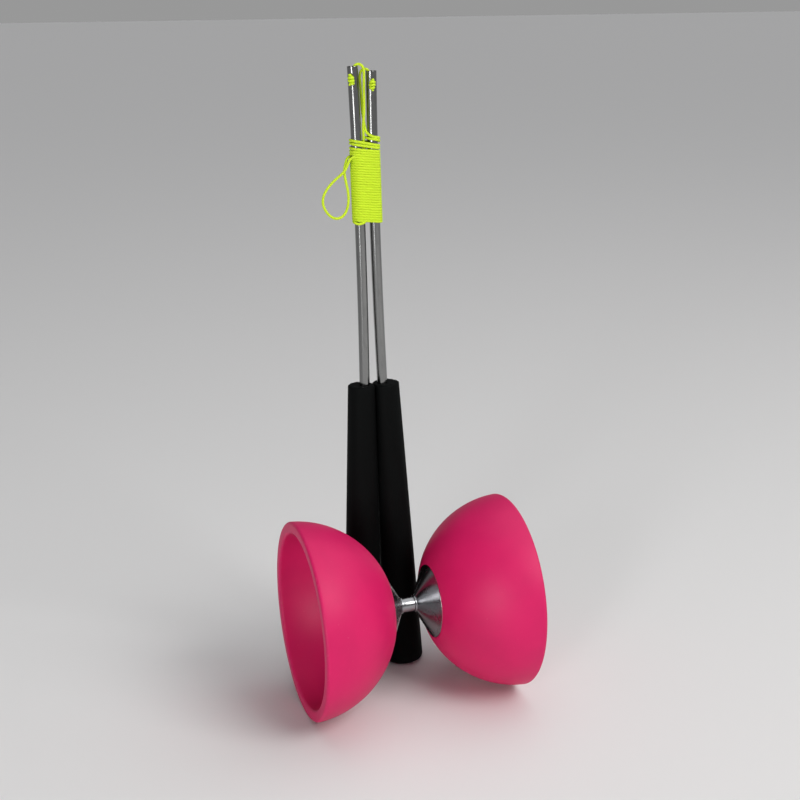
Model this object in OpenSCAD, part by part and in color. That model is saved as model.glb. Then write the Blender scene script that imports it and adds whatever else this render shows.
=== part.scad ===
// Diabolo with its two hand sticks and string, stored: the spool lies on its two rims,
// the sticks stand side by side behind its axle, and the string is wound round both tubes.
// Origin: on the floor under the middle of the axle. X runs along the axle, Y towards the
// sticks, Z up. Millimetres.

/* [Spool] */
// Outside diameter of each cup at its rim
cup_d = 105; // [90:0.5:130]
// Length of the spool from rim to rim
spool_len = 118; // [104:0.5:146]
// Distance between the two cups where they meet the cones
hub_gap = 25.4; // [20:0.2:32]
// Outside diameter of a cup where it meets its cone
hub_d = 40.5; // [34:0.5:46]
// Wall of a cup
cup_wall = 6.3; // [4:0.1:8]
// Rounding of both edges of the rim
rim_round = 1.5; // [0.5:0.1:2]
// Thickness of the cup's floor between cone and clamp plate
web_t = 5.5; // [4:0.1:7]

/* [Axle] */
// Diameter of a cone at its wide end
cone_d = 39.2; // [32:0.2:44]
// Diameter of a cone at its narrow end
neck_d = 9.2; // [8:0.1:11]
// Height of the plain collar at a cone's narrow end
neck_collar = 0.6; // [0.3:0.1:1.2]
// Depth by which a cone sits in its cup
cone_seat = 2.5; // [1.5:0.1:3.5]
// Length of the sleeve that the string runs on
sleeve_len = 6.8; // [5:0.1:9]
// Outside diameter of the sleeve
sleeve_d = 7.8; // [7.2:0.1:8.6]
// Diameter of the threaded rod
rod_d = 6; // [5:0.1:6.4]
// Diameter of the plate that clamps each cup
plate_d = 30; // [20:0.5:34]
// Thickness of the clamp plate
plate_t = 1.5; // [1:0.1:2.5]
// Thickness of the spring washer
spring_t = 1.6; // [1:0.1:2]
// Nut size across its flats
nut_af = 10; // [9:0.5:12]
// Height of the nut
nut_h = 5; // [4:0.1:6]
// Length of rod that stands out of the nut
rod_end = 1.5; // [0.5:0.1:3]

/* [Hand sticks] */
// Height of the left stick along its axis
left_len = 331; // [310:0.5:350]
// Height of the right stick along its axis
right_len = 328.5; // [310:0.5:350]
// Outside diameter of the tubes
tube_d = 5.5; // [5:0.1:6]
// Wall of the tubes
tube_wall = 0.8; // [0.5:0.1:1]
// Length of the grips
grip_len = 165; // [150:0.5:185]
// Diameter of a grip at its butt
grip_butt_d = 22; // [19:0.2:22.6]
// Diameter of a grip at its top
grip_top_d = 15; // [12:0.2:16]
// Rounding of the butt's edge
butt_round = 2; // [1:0.1:3]
// Diameter of the plug in the butt
plug_d = 14; // [10:0.2:16]
// Thickness of the plug's head
plug_t = 4; // [3:0.1:6]
// Length of the plug's stem inside the tube
plug_stem = 12; // [6:0.5:20]

/* [Stored pose] */
// Distance of the butts' back inside the cups' outline
back_inset = 0.5; // [0.3:0.1:2]
// Where the pair of sticks stands along the axle
pair_x = -1.2; // [-4:0.1:4]
// Distance between the two sticks at their butts
butt_pitch = 24; // [23:0.1:27]
// Angle at which each grip leans towards the other
grip_lean = 1.89; // [1.5:0.01:2]
// Angle at which each tube leans towards the other at its butt
tube_lean = 3.71; // [3.4:0.01:3.75]
// Angle at which the pair leans, negative to the left
pair_tilt = -0.77; // [-1.5:0.01:1.5]
// Radius of the bow that the string pulls into each tube
bow_r = 3810; // [3700:10:4100]

/* [String] */
// Diameter of the string
string_d = 1.4; // [1:0.1:1.6]
// Height of the lowest turn
wind_low = 251; // [240:0.5:260]
// Length of the winding along the tubes
wind_len = 43; // [30:0.5:50]
// Diameter of the hole that each end of the string comes out of
knot_hole_d = 2; // [1.6:0.1:2.4]
// Distance of the left knot below its tube's tip
left_knot_drop = 6.4; // [5:0.1:12]
// Distance of the right knot below its tube's tip
right_knot_drop = 6.7; // [5:0.1:12]
// Angle of the left knot round its tube, from the front to the left
left_knot_turn = 30; // [0:1:60]
// Angle of the right knot round its tube, from the front to the left
right_knot_turn = 10; // [0:1:60]
// Width of a knot
knot_w = 2.8; // [2:0.1:3.2]
// Length of a knot
knot_l = 6.6; // [4:0.1:8]

/* [Hidden] */
$fn = 96;

// clearances
cone_play = 0.15;      // cone in its seat, all round
rod_play = 0.15;       // rod in what it passes through
thread_play = 0.05;    // rod in the nut
grip_play = 0.1;       // tube in its grip
plug_play = 0.1;       // plug in grip and tube
plug_sunk = 0.3;       // plug's head behind the butt's face
press_gap = 0.2;       // between the two grips where they press flat
wind_play = 0.2;       // tube in the winding
knot_play = 0.05;      // knot off its tube

// spool, measured along X from its middle plane
axle_z = cup_d / 2;
rim_x = spool_len / 2;
hub_x = hub_gap / 2;
seat_x = hub_x + cone_seat;
web_x = seat_x + web_t;
plate_x = web_x + plate_t;
spring_x = plate_x + spring_t;
nut_x = spring_x + nut_h;
rod_x = nut_x + rod_end;
rod_hole_d = rod_d + 2 * rod_play;

// a cup's outline is a superellipse: (x / depth)^bulge_x + (r / radius)^bulge_r = 1
bulge_x = 1.88;
bulge_r = 2.1;
bowl_steps = 28;
hub_angle = acos(pow(hub_d / cup_d, bulge_r / 2));
bowl_depth = (rim_x - hub_x) / pow(sin(hub_angle), 2 / bulge_x);
inner_depth = bowl_depth - cup_wall;
inner_r = cup_d / 2 - cup_wall;
floor_angle = asin(pow((rim_x - web_x) / inner_depth, bulge_x / 2));
function bowl_point(angle, depth, radius) =
    [radius * pow(cos(angle), 2 / bulge_r), rim_x - depth * pow(sin(angle), 2 / bulge_x)];

// hand sticks
stick_y = cup_d / 2 - grip_butt_d / 2 - back_inset;
tube_r = tube_d / 2;
bore_r = tube_r - tube_wall;
arc_fn = 1440;
function tube_len(side) = (side < 0 ? left_len : right_len) - plug_t;
function arc_angle(length) = length / bow_r * 180 / PI;
butt_flat_r = grip_butt_d / 2 - butt_round;
function butt_low(side) =
    -side * butt_pitch / 2 * sin(pair_tilt) - butt_flat_r * sin(abs(pair_tilt - side * grip_lean));
pair_lift = -min(butt_low(-1), butt_low(1));

// how far a tube's axis lies from the middle of the pair at a height above its foot
function tube_offset(z) = butt_pitch / 2 - z * tan(tube_lean) + z * z / (2 * bow_r);

// winding
wind_offset = (tube_offset(wind_low - plug_t) + tube_offset(wind_low + wind_len - plug_t)) / 2;
wind_r = tube_r + wind_play + string_d;

// routes of the string where it is not wound, from end to end; Y is measured from the
// plane of the two tubes
string_sides = 8;
left_lead_route = [[-10.3, 0, 326], [-10.4, 0, 330.4], [-9.6, -0.2, 332.4], [-7.6, -0.6, 333.2],
    [-5.6, -0.9, 332.4], [-4.8, -1.1, 330.4], [-4.9, -1.2, 327], [-5.4, -1.1, 323],
    [-5.8, -0.9, 318], [-5.9, -0.7, 310], [-5.7, -0.7, 302], [-5.6, -0.7, 293.5]];
right_lead_route = [[-0.9, 0, 323.5], [-0.9, 0, 327.9], [-1.7, 0.2, 329.9], [-3.7, 0.6, 330.7],
    [-5.7, 0.9, 329.9], [-6.5, 1, 327.9], [-6.4, 1.1, 325], [-5.9, 1, 321],
    [-5.3, 0.8, 316], [-4.9, 0.7, 310], [-4.8, 0.7, 302], [-4.7, 0.7, 293.5]];
loop_route = [[-12.7, -2.1, 286.6], [-14.5, -2.4, 285.4], [-17.4, -2.2, 282.2],
    [-20.9, -2, 278.4], [-24.4, -2, 275], [-27, -2, 271], [-28.2, -2, 266.4],
    [-27.6, -2, 261.8], [-25.4, -2, 258.2], [-22, -1.8, 256.4], [-18.6, -1.5, 256.8],
    [-16.2, -1.2, 259.4], [-15.3, -1, 263.6], [-15.6, -1, 269], [-16.4, -1, 274],
    [-16.8, -1, 278.6], [-16.2, -1, 282.4], [-14.6, -0.8, 285], [-12.7, -0.6, 286]];

// ---- helpers ----

// a profile of [radius, x] points spun about the axle
module spun(profile) {
    translate([0, 0, axle_z]) rotate([0, 90, 0]) rotate_extrude() polygon(profile);
}

// the right-hand half of the spool as drawn, or its mirror image on the left
module on_side(side) {
    mirror([side < 0 ? 1 : 0, 0, 0]) children();
}

// a flat ring on the axle, from x0 to x1
module axle_ring(r_out, r_in, x0, x1) {
    spun([[r_in, x0], [r_out, x0], [r_out, x1], [r_in, x1]]);
}

// the frame in which the two sticks are mirror images
module pair_frame() {
    translate([pair_x, stick_y, pair_lift]) rotate([0, pair_tilt, 0]) children();
}

// one grip's own frame: origin at its butt, Z along it, X away from the other stick
module grip_frame(side) {
    pair_frame() on_side(side) translate([butt_pitch / 2, 0, 0]) rotate([0, -grip_lean, 0])
        children();
}

// one tube's own frame at its foot: Z up the tube, X away from the other stick
module tube_frame(side) {
    pair_frame() on_side(side) translate([butt_pitch / 2, 0, plug_t]) rotate([0, -tube_lean, 0])
        children();
}

// the frame at a tube's tip: Z out of its mouth
module tip_frame(side) {
    tube_frame(side) translate([bow_r, 0, 0]) rotate([0, arc_angle(tube_len(side)), 0])
        translate([-bow_r, 0, 0]) children();
}

// a round section carried along the tube's bow, from its foot
module bowed(side, r_out, r_in, length) {
    tube_frame(side) translate([bow_r, 0, 0]) mirror([1, 0, 0]) rotate([90, 0, 0])
        rotate_extrude(angle = arc_angle(length), $fn = arc_fn) translate([bow_r, 0])
            difference() {
                circle(r = r_out, $fn = 48);
                circle(r = r_in, $fn = 48);
            }
}

// unit vector, and the direction of a route at one of its points
function unit(v) = v / norm(v);
function heading(route, i) =
    unit(route[min(i + 1, len(route) - 1)] - route[max(i - 1, 0)]);

// one ring of points round a route's point, square to its heading
function ring(centre, dir, r) =
    let(side_way = unit(cross(dir, abs(dir[1]) < 0.9 ? [0, 1, 0] : [1, 0, 0])),
        other_way = cross(dir, side_way))
    [for (k = [0 : string_sides - 1])
        centre + r * (cos(360 * k / string_sides) * side_way
            + sin(360 * k / string_sides) * other_way)];

// a tube swept along a route as one closed polyhedron
module swept(route, r) {
    n = len(route);
    s = string_sides;
    points = [for (i = [0 : n - 1]) each ring(route[i], heading(route, i), r)];
    walls = [for (i = [0 : n - 2], k = [0 : s - 1])
        let(a = i * s + k, b = i * s + (k + 1) % s)
        each [[a, b, b + s], [a, b + s, a + s]]];
    start_cap = [for (k = [s - 1 : -1 : 0]) k];
    end_cap = [for (k = [0 : s - 1]) (n - 1) * s + k];
    polyhedron(points, concat(walls, [start_cap, end_cap]));
}

// ---- spool ----

module cup(side) {
    outer = [for (i = [bowl_steps : -1 : 1])
        bowl_point(hub_angle * i / bowl_steps, bowl_depth, cup_d / 2)];
    outer_edge = [for (a = [0 : 22.5 : 90])
        [cup_d / 2 - rim_round * (1 - cos(a)), rim_x - rim_round * (1 - sin(a))]];
    inner_edge = [for (a = [0 : 22.5 : 90])
        [inner_r + rim_round * (1 - sin(a)), rim_x - rim_round * (1 - cos(a))]];
    inner = [for (i = [1 : bowl_steps])
        bowl_point(floor_angle * i / bowl_steps, inner_depth, inner_r)];
    recess_r = cone_d / 2 + cone_play;
    floor_end = [[rod_hole_d / 2, web_x], [rod_hole_d / 2, seat_x], [recess_r, seat_x],
        [recess_r, hub_x]];
    color("deeppink") on_side(side)
        spun(concat(outer, outer_edge, inner_edge, inner, floor_end));
}

module cone(side) {
    neck_x = sleeve_len / 2;
    neck_groove = 0.3;
    color("silver") on_side(side) spun([
        [rod_hole_d / 2, neck_x], [neck_d / 2, neck_x], [neck_d / 2, neck_x + neck_collar],
        [neck_d / 2 - neck_groove, neck_x + neck_collar + neck_groove],
        [cone_d / 2, hub_x], [cone_d / 2, seat_x], [rod_hole_d / 2, seat_x]]);
}

module string_sleeve() {
    color("gainsboro") axle_ring(sleeve_d / 2, rod_hole_d / 2, -sleeve_len / 2, sleeve_len / 2);
}

module axle_rod() {
    rod_chamfer = 0.6;
    color("gray") spun([[0, -rod_x], [rod_d / 2 - rod_chamfer, -rod_x],
        [rod_d / 2, -rod_x + rod_chamfer], [rod_d / 2, rod_x - rod_chamfer],
        [rod_d / 2 - rod_chamfer, rod_x], [0, rod_x]]);
}

module clamp_plate(side) {
    color("lightgray") on_side(side) axle_ring(plate_d / 2, rod_hole_d / 2, web_x, plate_x);
}

// a split ring, cut through at the bottom
module spring_washer(side) {
    washer_d = 11.8;
    split_w = 1;
    color("dimgray") on_side(side) difference() {
        axle_ring(washer_d / 2, rod_hole_d / 2, plate_x, spring_x);
        translate([plate_x - 1, -split_w / 2, axle_z - washer_d])
            cube([spring_t + 2, split_w, washer_d]);
    }
}

module nut(side) {
    color("silver") on_side(side) translate([spring_x, 0, axle_z]) rotate([0, 90, 0])
        difference() {
            cylinder(d = nut_af / cos(30), h = nut_h, $fn = 6);
            translate([0, 0, -1]) cylinder(r = rod_d / 2 + thread_play, h = nut_h + 2);
        }
}

// ---- hand sticks ----

module tube(side) {
    color("lightsteelblue") difference() {
        bowed(side, tube_r, bore_r, tube_len(side));
        at_knot_hole(side) cylinder(d = knot_hole_d, h = tube_d, $fn = 32);
    }
}

// the frame of a string hole: origin on the tube's axis, Z out through its wall
module at_knot_hole(side) {
    drop = side < 0 ? left_knot_drop : right_knot_drop;
    turn = side < 0 ? left_knot_turn : -right_knot_turn;
    tip_frame(side) translate([0, 0, -drop]) rotate([0, 0, turn]) rotate([90, 0, 0]) children();
}

// a tapered sleeve over the tube, pressed flat where it meets the other stick's grip
module grip(side) {
    top_round = 1;
    butt_r = grip_butt_d / 2;
    top_r = grip_top_d / 2;
    butt_edge = [for (a = [0 : 22.5 : 90])
        [butt_r - butt_round * (1 - sin(a)), butt_round * (1 - cos(a))]];
    top_edge = [for (a = [0 : 30 : 90])
        [top_r - top_round * (1 - cos(a)), grip_len - top_round * (1 - sin(a))]];
    color("#1c1e20") difference() {
        grip_frame(side) rotate_extrude()
            polygon(concat([[0, 0]], butt_edge, top_edge, [[0, grip_len]]));
        bowed(side, tube_r + grip_play, 0, grip_len + plug_t);
        tube_frame(side) translate([0, 0, -2 * plug_t])
            cylinder(d = plug_d + 2 * plug_play, h = 2 * plug_t);
        pair_frame() on_side(-side) translate([-press_gap / 2, -butt_r, -butt_r])
            cube([butt_pitch, 2 * butt_r, grip_len + 2 * butt_r]);
    }
}

module butt_plug(side) {
    color("black") tube_frame(side) {
        translate([0, 0, plug_sunk - plug_t]) cylinder(d = plug_d, h = plug_t - plug_sunk);
        cylinder(r = bore_r - plug_play, h = plug_stem);
    }
}

// ---- string ----

// the whole winding as one closed solid with a hole for each tube
module string_winding() {
    color("greenyellow") pair_frame() translate([0, 0, wind_low]) difference() {
        union() {
            for (side = [-1, 1]) translate([side * wind_offset, 0, 0])
                cylinder(r = wind_r, h = wind_len);
            translate([-wind_offset, -wind_r, 0]) cube([2 * wind_offset, 2 * wind_r, wind_len]);
        }
        for (side = [-1, 1]) translate([side * wind_offset, 0, -1])
            cylinder(r = tube_r + wind_play, h = wind_len + 2);
    }
}

module string_run(route) {
    color("greenyellow") translate([0, stick_y, 0]) swept(route, string_d / 2);
}

// a knot lies against the tube over its hole
module knot(side) {
    end_r = knot_w / 2;
    straight = knot_l - knot_w;
    color("yellowgreen") at_knot_hole(side) translate([0, -straight / 2, tube_r + knot_play + end_r])
        rotate([-90, 0, 0]) {
            cylinder(r = end_r, h = straight, $fn = 32);
            sphere(r = end_r, $fn = 32);
            translate([0, 0, straight]) sphere(r = end_r, $fn = 32);
        }
}

cup(-1);  // left_cup
cup(1);  // right_cup
cone(-1);  // left_cone
cone(1);  // right_cone
string_sleeve();
axle_rod();
clamp_plate(-1);  // left_clamp_plate
clamp_plate(1);  // right_clamp_plate
spring_washer(-1);  // left_spring_washer
spring_washer(1);  // right_spring_washer
nut(-1);  // left_nut
nut(1);  // right_nut
tube(-1);  // left_tube
tube(1);  // right_tube
grip(-1);  // left_grip
grip(1);  // right_grip
butt_plug(-1);  // left_butt_plug
butt_plug(1);  // right_butt_plug
string_winding();
string_run(left_lead_route);  // string_left_lead
string_run(right_lead_route);  // string_right_lead
string_run(loop_route);  // string_loop
knot(-1);  // left_knot
knot(1);  // right_knot
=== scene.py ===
"""A diabolo with its two hand sticks and its string, as they are put away.

Each piece is a surface worked out with numpy in metres, in the frame of the CAD model: X runs
along the axle, Y towards the hand sticks and Z up, with the origin on the floor under the
middle of the axle.
"""

import math

import bmesh
import bpy
import numpy as np
from bpy.props import FloatProperty, FloatVectorProperty, PointerProperty
from mathutils import Matrix, Vector


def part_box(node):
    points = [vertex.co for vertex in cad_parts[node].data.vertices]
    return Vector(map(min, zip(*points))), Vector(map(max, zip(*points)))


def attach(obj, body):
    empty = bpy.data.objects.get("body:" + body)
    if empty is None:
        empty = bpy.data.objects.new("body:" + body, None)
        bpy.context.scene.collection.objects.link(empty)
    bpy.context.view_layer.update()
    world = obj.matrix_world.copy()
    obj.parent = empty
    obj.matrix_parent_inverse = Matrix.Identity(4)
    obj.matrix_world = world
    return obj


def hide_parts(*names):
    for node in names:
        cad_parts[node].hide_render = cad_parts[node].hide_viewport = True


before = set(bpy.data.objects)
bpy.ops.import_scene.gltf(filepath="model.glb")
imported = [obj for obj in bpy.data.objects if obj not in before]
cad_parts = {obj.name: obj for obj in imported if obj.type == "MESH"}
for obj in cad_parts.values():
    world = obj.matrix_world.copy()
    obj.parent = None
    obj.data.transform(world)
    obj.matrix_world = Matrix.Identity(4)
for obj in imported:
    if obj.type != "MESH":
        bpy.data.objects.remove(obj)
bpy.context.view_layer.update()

bl_info = {
    "name": "Diabolo with hand sticks",
    "version": (1, 0, 0),
    "blender": (4, 5, 0),
    "location": "View3D > Sidebar > Diabolo",
    "description": "Builds a diabolo, its hand sticks and its wound string",
    "category": "Add Mesh",
}

MM = 0.001
TURN = 2 * math.pi
SIDES = {"left": -1, "right": 1}


# ---- sizes and colours ----

def length(name, description, default):
    """A length property in metres."""
    return FloatProperty(
        name=name, description=description, default=default, unit="LENGTH", precision=5)


def angle(name, description, degrees):
    """An angle property, given in degrees and kept in radians."""
    return FloatProperty(
        name=name, description=description, default=math.radians(degrees), subtype="ANGLE")


def colour(name, description, default):
    """A colour property in linear light."""
    return FloatVectorProperty(
        name=name, description=description, default=default, subtype="COLOR", size=3,
        min=0, max=1)


def reach(node, axis):
    """How far a CAD node reaches along an axis."""
    low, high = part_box(node)
    return high[axis] - low[axis]


class SpoolSizes(bpy.types.PropertyGroup):
    """Sizes of the two cups and of the axle between them."""

    cup_d: length("Cup diameter", "Outside diameter at the rim", reach("left_cup", 2))
    rim_x: length("Rim", "From the middle to a rim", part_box("right_cup")[1].x)
    hub_x: length("Hub", "From the middle to a cup's hub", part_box("right_cup")[0].x)
    hub_d: length("Hub diameter", "Outside diameter of a cup at its cone", 0.0405)
    wall: length("Cup wall", "Thickness of a cup", 0.0063)
    floor_t: length("Cup floor", "Thickness of a cup between its cone and its plate", 0.0055)
    rim_round: length("Rim rounding", "Rounding of both edges of a rim", 0.0015)
    cone_d: length("Cone diameter", "At a cone's wide end", reach("left_cone", 2))
    neck_d: length("Neck diameter", "At a cone's narrow end", 0.0092)
    seat_x: length("Cone seat", "From the middle to a cone's back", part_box("right_cone")[1].x)
    bore_d: length("Bore", "Hole for the rod", 0.0063)
    thread_pitch: length("Thread pitch", "Height of one turn of the rod's thread", 0.001)
    nut_af: length("Nut", "Across a nut's flats", 0.010)
    nut_bore_d: length("Nut bore", "Hole of a nut", 0.0061)
    washer_gap: length("Washer gap", "Opening of a spring washer", 0.001)


class StickSizes(bpy.types.PropertyGroup):
    """Sizes of the hand sticks and how they lean on each other."""

    left_len: length("Left stick", "Height of the left stick", 0.331)
    right_len: length("Right stick", "Height of the right stick", 0.3285)
    tube_d: length("Tube diameter", "Outside diameter of a tube", 0.0055)
    tube_wall: length("Tube wall", "Wall of a tube", 0.0008)
    grip_len: length("Grip length", "Length of a grip", 0.165)
    grip_butt_d: length("Butt diameter", "Diameter of a grip at its butt", 0.022)
    grip_top_d: length("Top diameter", "Diameter of a grip at its top", 0.015)
    plug_d: length("Plug diameter", "Diameter of the plug in a butt", 0.014)
    plug_t: length("Plug thickness", "Thickness of a plug's head", 0.004)
    pitch: length("Butt pitch", "Between the two sticks at their butts", 0.024)
    pair_x: length("Pair place", "Where the pair stands along the axle", -0.0012)
    pair_y: length("Pair depth", "From the axle to the tubes' plane", 0.041)
    pair_z: length("Pair lift", "How far the tilted pair stands off the floor", 0.000337)
    bow: length("Bow", "Radius to which the string bends a tube", 3.81)
    grip_lean: angle("Grip lean", "How far each grip leans inwards", 1.89)
    tube_lean: angle("Tube lean", "How far each tube leans inwards at its butt", 3.71)
    pair_tilt: angle("Pair tilt", "How far the pair leans, negative to the left", -0.77)
    knot_hole_d: length("Knot hole", "Hole near a tube's tip", 0.002)
    left_knot_drop: length("Left knot", "From the left tip down to its knot", 0.0064)
    right_knot_drop: length("Right knot", "From the right tip down to its knot", 0.0067)
    left_knot_turn: angle("Left knot turn", "From the front, outwards", 30)
    right_knot_turn: angle("Right knot turn", "From the front, outwards", -10)


class StringSizes(bpy.types.PropertyGroup):
    """Sizes of the string and of its winding."""

    thickness: length("String diameter", "Diameter of the braided string", 0.0014)
    wind_offset: length("Winding offset", "From the winding's middle to a tube", 0.0041)
    slant: FloatProperty(
        name="Slant", description="Drop of a turn per length towards the right", default=0.087)


class Colours(bpy.types.PropertyGroup):
    """Colours of the finishes, in linear light."""

    cup: colour("Cup", "Moulded rubber of the cups", (0.63, 0.0085, 0.112))
    turned: colour("Turned aluminium", "Cones and sleeve", (0.34, 0.345, 0.36))
    drawn: colour("Drawn aluminium", "Tubes of the hand sticks", (0.25, 0.252, 0.25))
    zinc: colour("Zinc", "Rod, plates, washers and nuts", (0.62, 0.63, 0.62))
    grip: colour("Grip", "Black sleeves of the hand sticks", (0.0024, 0.0030, 0.0030))
    plug: colour("Plug", "Plugs in the butts", (0.014, 0.014, 0.015))
    string: colour("String", "Braided string", (0.66, 0.88, 0.018))
    floor: colour("Floor", "Floor all round the object", (0.78, 0.78, 0.78))


# ---- shader arithmetic ----

class Signal:
    """A value that changes over a surface. Arithmetic on it adds Math nodes."""

    def __init__(self, nodes, socket):
        self.nodes = nodes
        self.socket = socket

    def math(self, operation, *values):
        """A Math node with these values, this signal or numbers, in their order."""
        sockets = dict(enumerate(values))
        return self.nodes.node("ShaderNodeMath", {"operation": operation}, sockets)

    def __add__(self, other):
        return self.math("ADD", self, other)

    def __sub__(self, other):
        return self.math("SUBTRACT", self, other)

    def __mul__(self, other):
        return self.math("MULTIPLY", self, other)

    def __rsub__(self, other):
        return self.math("SUBTRACT", other, self)

    __radd__ = __add__
    __rmul__ = __mul__


class Nodes:
    """The nodes of a material or of the world."""

    def __init__(self, tree):
        self.tree = tree

    def feed(self, socket, value):
        """Links a signal to a socket, or sets a constant on it."""
        if isinstance(value, Signal):
            self.tree.links.new(value.socket, socket)
        elif hasattr(value, "__len__") and len(value) == 3 and socket.type == "RGBA":
            socket.default_value = (*value, 1)
        else:
            socket.default_value = value

    def node(self, kind, settings=None, sockets=None, output=0):
        """Adds a node: its settings first, then values or links for its sockets."""
        made = self.tree.nodes.new(kind)
        for name, value in (settings or {}).items():
            if name == "stops":
                for stop, (position, shade) in zip(made.color_ramp.elements, value):
                    stop.position, stop.color = position, (*shade, 1)
            else:
                setattr(made, name, value)
        for name, value in (sockets or {}).items():
            self.feed(made.inputs[name], value)
        return Signal(self, made.outputs[output])

    def place(self, stretch=(1, 1, 1)):
        """The place on the piece, multiplied by stretch."""
        where = self.node("ShaderNodeTexCoord", output="Object")
        return self.node(
            "ShaderNodeVectorMath", {"operation": "MULTIPLY"}, {0: where, 1: stretch})

    def parts(self, vector):
        """The three parts of a vector as signals."""
        split = self.tree.nodes.new("ShaderNodeSeparateXYZ")
        self.feed(split.inputs[0], vector)
        return [Signal(self, output) for output in split.outputs]

    def noise(self, vector, scale=1, detail=3, roughness=0.5):
        """Smooth random values around one half."""
        return self.node("ShaderNodeTexNoise", None, {
            "Vector": vector, "Scale": scale, "Detail": detail, "Roughness": roughness})

    def band(self, value, low, high):
        """Zero below low, one above high and smooth between them."""
        return self.node("ShaderNodeMapRange", {"interpolation_type": "SMOOTHSTEP"}, {
            "Value": value, "From Min": low, "From Max": high})

    def mixed(self, factor, first, second):
        """First colour where factor is 0 and second where it is 1."""
        made = self.tree.nodes.new("ShaderNodeMix")
        made.data_type = "RGBA"
        colours = [socket for socket in made.inputs if socket.type == "RGBA"]
        self.feed(made.inputs[0], factor)
        self.feed(colours[0], first)
        self.feed(colours[1], second)
        return Signal(self, next(s for s in made.outputs if s.type == "RGBA"))

    def relief(self, height, depth, strength=1.0, under=None):
        """Bump whose full height is depth metres, laid over another if it is given."""
        sockets = {"Height": height, "Distance": depth, "Strength": strength}
        if under is not None:
            sockets["Normal"] = under
        return self.node("ShaderNodeBump", None, sockets)


class Finish(Nodes):
    """One material: a Principled shader and the nodes that feed it."""

    def __init__(self, name, **constants):
        self.material = bpy.data.materials.new(name)
        self.material.use_nodes = True
        super().__init__(self.material.node_tree)
        self.tree.nodes.clear()
        self.surface = self.tree.nodes.new("ShaderNodeBsdfPrincipled")
        output = self.tree.nodes.new("ShaderNodeOutputMaterial")
        self.tree.links.new(self.surface.outputs[0], output.inputs["Surface"])
        self.finish(**constants)

    def finish(self, **signals):
        """Feeds the Principled shader's sockets and returns the material."""
        for name, value in signals.items():
            name = name.replace("_", " ").title().replace("Ior", "IOR")
            self.feed(self.surface.inputs[name], value)
        return self.material


# ---- finishes ----

def darker(shade, factor):
    """A colour multiplied by a factor."""
    return tuple(min(1, part * factor) for part in shade)


def moulded_rubber(shade, rim_x):
    """Satin rubber with a fine moulded grain, faint cloudiness and a scuffed rim."""
    made = Finish("moulded_rubber", ior=1.50, specular_ior_level=0.30)
    cloud = made.noise(made.place(), 38, 3, 0.55)
    grain = made.noise(made.place(), 2600, 2, 0.6)
    along, _, _ = made.parts(made.place())
    from_middle = along.math("ABSOLUTE", along)
    speckle = made.noise(made.place(), 420, 4, 0.7)
    at_rim = made.band(from_middle, rim_x - 0.0022, rim_x - 0.0002)
    scuff = at_rim * made.band(speckle, 0.53, 0.66)
    dust = made.band(made.noise(made.place(), 900, 2, 0.5), 0.70, 0.78)
    body = made.mixed(made.band(cloud, 0.3, 0.7), darker(shade, 0.95), darker(shade, 1.04))
    worn = made.mixed(scuff * 0.10, body, tuple(0.25 + 0.6 * part for part in shade))
    base = made.mixed(dust * 0.05, worn, (0.9, 0.7, 0.75))
    under = made.relief(grain, 0.00002, 0.35)
    return made.finish(
        base_color=base,
        roughness=0.46 + 0.08 * cloud + 0.12 * scuff,
        normal=made.relief(scuff, 0.00004, 0.2, under))


def turned_aluminium(shade):
    """Bare metal off a lathe: rings round the axle, fine feed marks and a few stains."""
    made = Finish("turned_aluminium", metallic=1.0)
    rings = made.noise(made.place((1, 0, 0)), 5200, 3, 0.65)
    broad = made.noise(made.place((1, 0, 0)), 700, 2, 0.5)
    stain = made.band(made.noise(made.place(), 160, 4, 0.6), 0.56, 0.70)
    base = made.mixed(0.45 * stain + 0.18 * rings, shade, darker(shade, 0.62))
    under = made.relief(broad, 0.00003, 0.5)
    return made.finish(
        base_color=base,
        roughness=0.17 + 0.10 * rings + 0.12 * stain,
        normal=made.relief(rings, 0.000018, 0.75, under))


def drawn_aluminium(shade):
    """Bare drawn tube: lines along it, fine speckle, and dark streaks along it painted into the
    colour as reflections.
    """
    made = Finish("drawn_aluminium", metallic=1.0)
    lines = made.noise(made.place((1, 1, 0.02)), 3200, 3, 0.7)
    speckle = made.noise(made.place((1, 1, 0.35)), 2100, 3, 0.75)
    # painted reflection: darker streaks drawn out along the tube stand in for dark reflected
    # stripes
    painted_reflection_streaks = made.band(made.noise(made.place((1, 1, 0.25)), 210, 4, 0.65), 0.50, 0.68)
    base = made.mixed(0.35 * painted_reflection_streaks + 0.25 * speckle, shade, darker(shade, 0.66))
    under = made.relief(lines, 0.00002, 0.6)
    return made.finish(
        base_color=base,
        roughness=0.10 + 0.12 * speckle + 0.08 * painted_reflection_streaks,
        normal=made.relief(speckle, 0.00003, 0.3, under))


def zinc_plate(shade):
    """Bright zinc on steel, with a faint crystal pattern and a warm tint in patches."""
    made = Finish("zinc_plate", metallic=1.0)
    crystal = made.node("ShaderNodeTexVoronoi", None, {
        "Vector": made.place(), "Scale": 900}, "Color")
    patches = made.band(made.noise(made.place(), 240, 3, 0.6), 0.42, 0.66)
    warm = (shade[0], shade[1] * 0.93, shade[2] * 0.78)
    base = made.mixed(patches * 0.55, shade, warm)
    flake, _, _ = made.parts(crystal)
    scratch = made.noise(made.place(), 1800, 3, 0.7)
    return made.finish(
        base_color=made.mixed(flake * 0.2, base, darker(shade, 0.6)),
        roughness=0.24 + 0.12 * flake + 0.08 * scratch,
        normal=made.relief(scratch, 0.00001, 0.4))


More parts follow.
